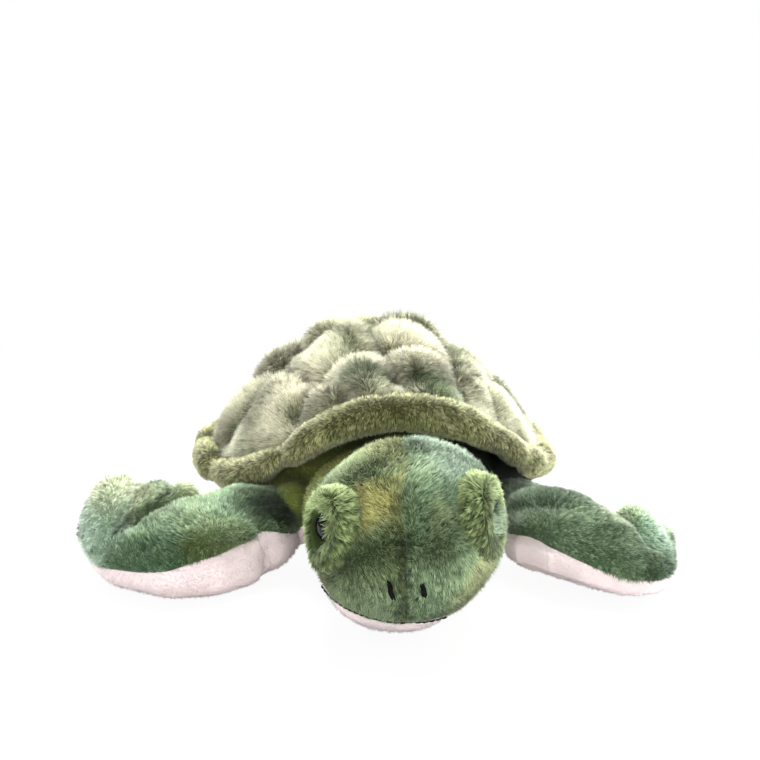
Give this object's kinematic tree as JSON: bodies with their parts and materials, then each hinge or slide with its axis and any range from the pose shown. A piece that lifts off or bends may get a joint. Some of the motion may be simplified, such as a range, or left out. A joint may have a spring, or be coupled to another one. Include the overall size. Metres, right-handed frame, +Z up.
{
  "type": "plush sea turtle",
  "caption": "Plush sea turtle lying on its belly: quilted furry shell with a stuffed rim, turning neck, nodding head with padded eye rings, hinged flippers and a tail.",
  "frame": {"origin": "under the middle of the whole toy's bounding box, on the surface that its belly rests on", "axes": "-Y towards the nose, +X to the right of someone who faces the nose, +Z up; left and right in the nodes' names are as that person sees them"},
  "size_m": [0.3414, 0.3774, 0.124],
  "materials": {
    "shell_fur": "matt long-pile fur with pale frosted tips",
    "rim_plush": "matt medium-pile plush",
    "tie_dye_plush": "matt short-pile plush, dyed in green, teal and yellow clouds",
    "eye_ring_plush": "matt tufted plush",
    "pale_plush": "matt short-pile plush",
    "stuffing": "matt loose fibre",
    "eye_plastic": "gloss",
    "washer_plastic": "matt",
    "dark_thread": "matt embroidery thread"
  },
  "bodies": {
    "torso": {"carapace_cover": "shell_fur", "carapace_lining": "rim_plush", "carapace_stuffing": "stuffing", "rim_cover": "rim_plush", "rim_stuffing": "stuffing", "chest_cover": "tie_dye_plush", "belly_cover": "pale_plush", "body_stuffing": "stuffing"},
    "neck": {"neck_cover": "tie_dye_plush", "throat_panel": "pale_plush", "neck_stuffing": "stuffing"},
    "head": {"head_left_panel": "tie_dye_plush", "head_right_panel": "tie_dye_plush", "chin_panel": "pale_plush", "head_stuffing": "stuffing", "left_eye": "eye_plastic", "right_eye": "eye_plastic", "left_eye_washer": "washer_plastic", "right_eye_washer": "washer_plastic", "left_eye_surround": "eye_ring_plush", "right_eye_surround": "eye_ring_plush", "left_nostril_stitch": "dark_thread", "right_nostril_stitch": "dark_thread", "mouth_stitch": "dark_thread"},
    "left_front_flipper": {"left_front_flipper_upper_cover": "tie_dye_plush", "left_front_flipper_lower_cover": "pale_plush", "left_front_flipper_stuffing": "stuffing"},
    "right_front_flipper": {"right_front_flipper_upper_cover": "tie_dye_plush", "right_front_flipper_lower_cover": "pale_plush", "right_front_flipper_stuffing": "stuffing"},
    "left_rear_flipper": {"left_rear_flipper_upper_cover": "tie_dye_plush", "left_rear_flipper_lower_cover": "pale_plush", "left_rear_flipper_stuffing": "stuffing"},
    "right_rear_flipper": {"right_rear_flipper_upper_cover": "tie_dye_plush", "right_rear_flipper_lower_cover": "pale_plush", "right_rear_flipper_stuffing": "stuffing"},
    "tail": {"tail": "tie_dye_plush"}
  },
  "joints": [
    {"name": "neck_turn", "type": "hinge", "parent": "torso", "child": "neck", "pos_m": [0.00669, -0.07031, 0.0385], "axis": [0, 0, 1], "range_deg": [-15, 15], "stiffness_Nm_per_rad": 0.15},
    {"name": "head_nod", "type": "hinge", "parent": "neck", "child": "head", "pos_m": [0.00669, -0.13331, 0.048], "axis": [0.9858, -0.1561, 0.061], "range_deg": [-20, 8], "stiffness_Nm_per_rad": 0.15},
    {"name": "left_front_flipper_flap", "type": "hinge", "parent": "torso", "child": "left_front_flipper", "pos_m": [-0.06431, -0.04931, 0.0255], "axis": [0.0698, 0.9976, 0], "range_deg": [0, 18], "stiffness_Nm_per_rad": 0.1},
    {"name": "right_front_flipper_flap", "type": "hinge", "parent": "torso", "child": "right_front_flipper", "pos_m": [0.07769, -0.04931, 0.0255], "axis": [-0.5878, -0.809, 0], "range_deg": [0, 18], "stiffness_Nm_per_rad": 0.1},
    {"name": "left_rear_flipper_flap", "type": "hinge", "parent": "torso", "child": "left_rear_flipper", "pos_m": [-0.05131, 0.12869, 0.0135], "axis": [0.6691, 0.7431, 0], "range_deg": [0, 12], "stiffness_Nm_per_rad": 0.05},
    {"name": "right_rear_flipper_flap", "type": "hinge", "parent": "torso", "child": "right_rear_flipper", "pos_m": [0.06469, 0.12869, 0.0135], "axis": [0.6691, -0.7431, 0], "range_deg": [0, 12], "stiffness_Nm_per_rad": 0.05},
    {"name": "tail_wag", "type": "hinge", "parent": "torso", "child": "tail", "pos_m": [0.00669, 0.15469, 0.014], "axis": [0, 0, 1], "range_deg": [-20, 20], "stiffness_Nm_per_rad": 0.02}
  ]
}
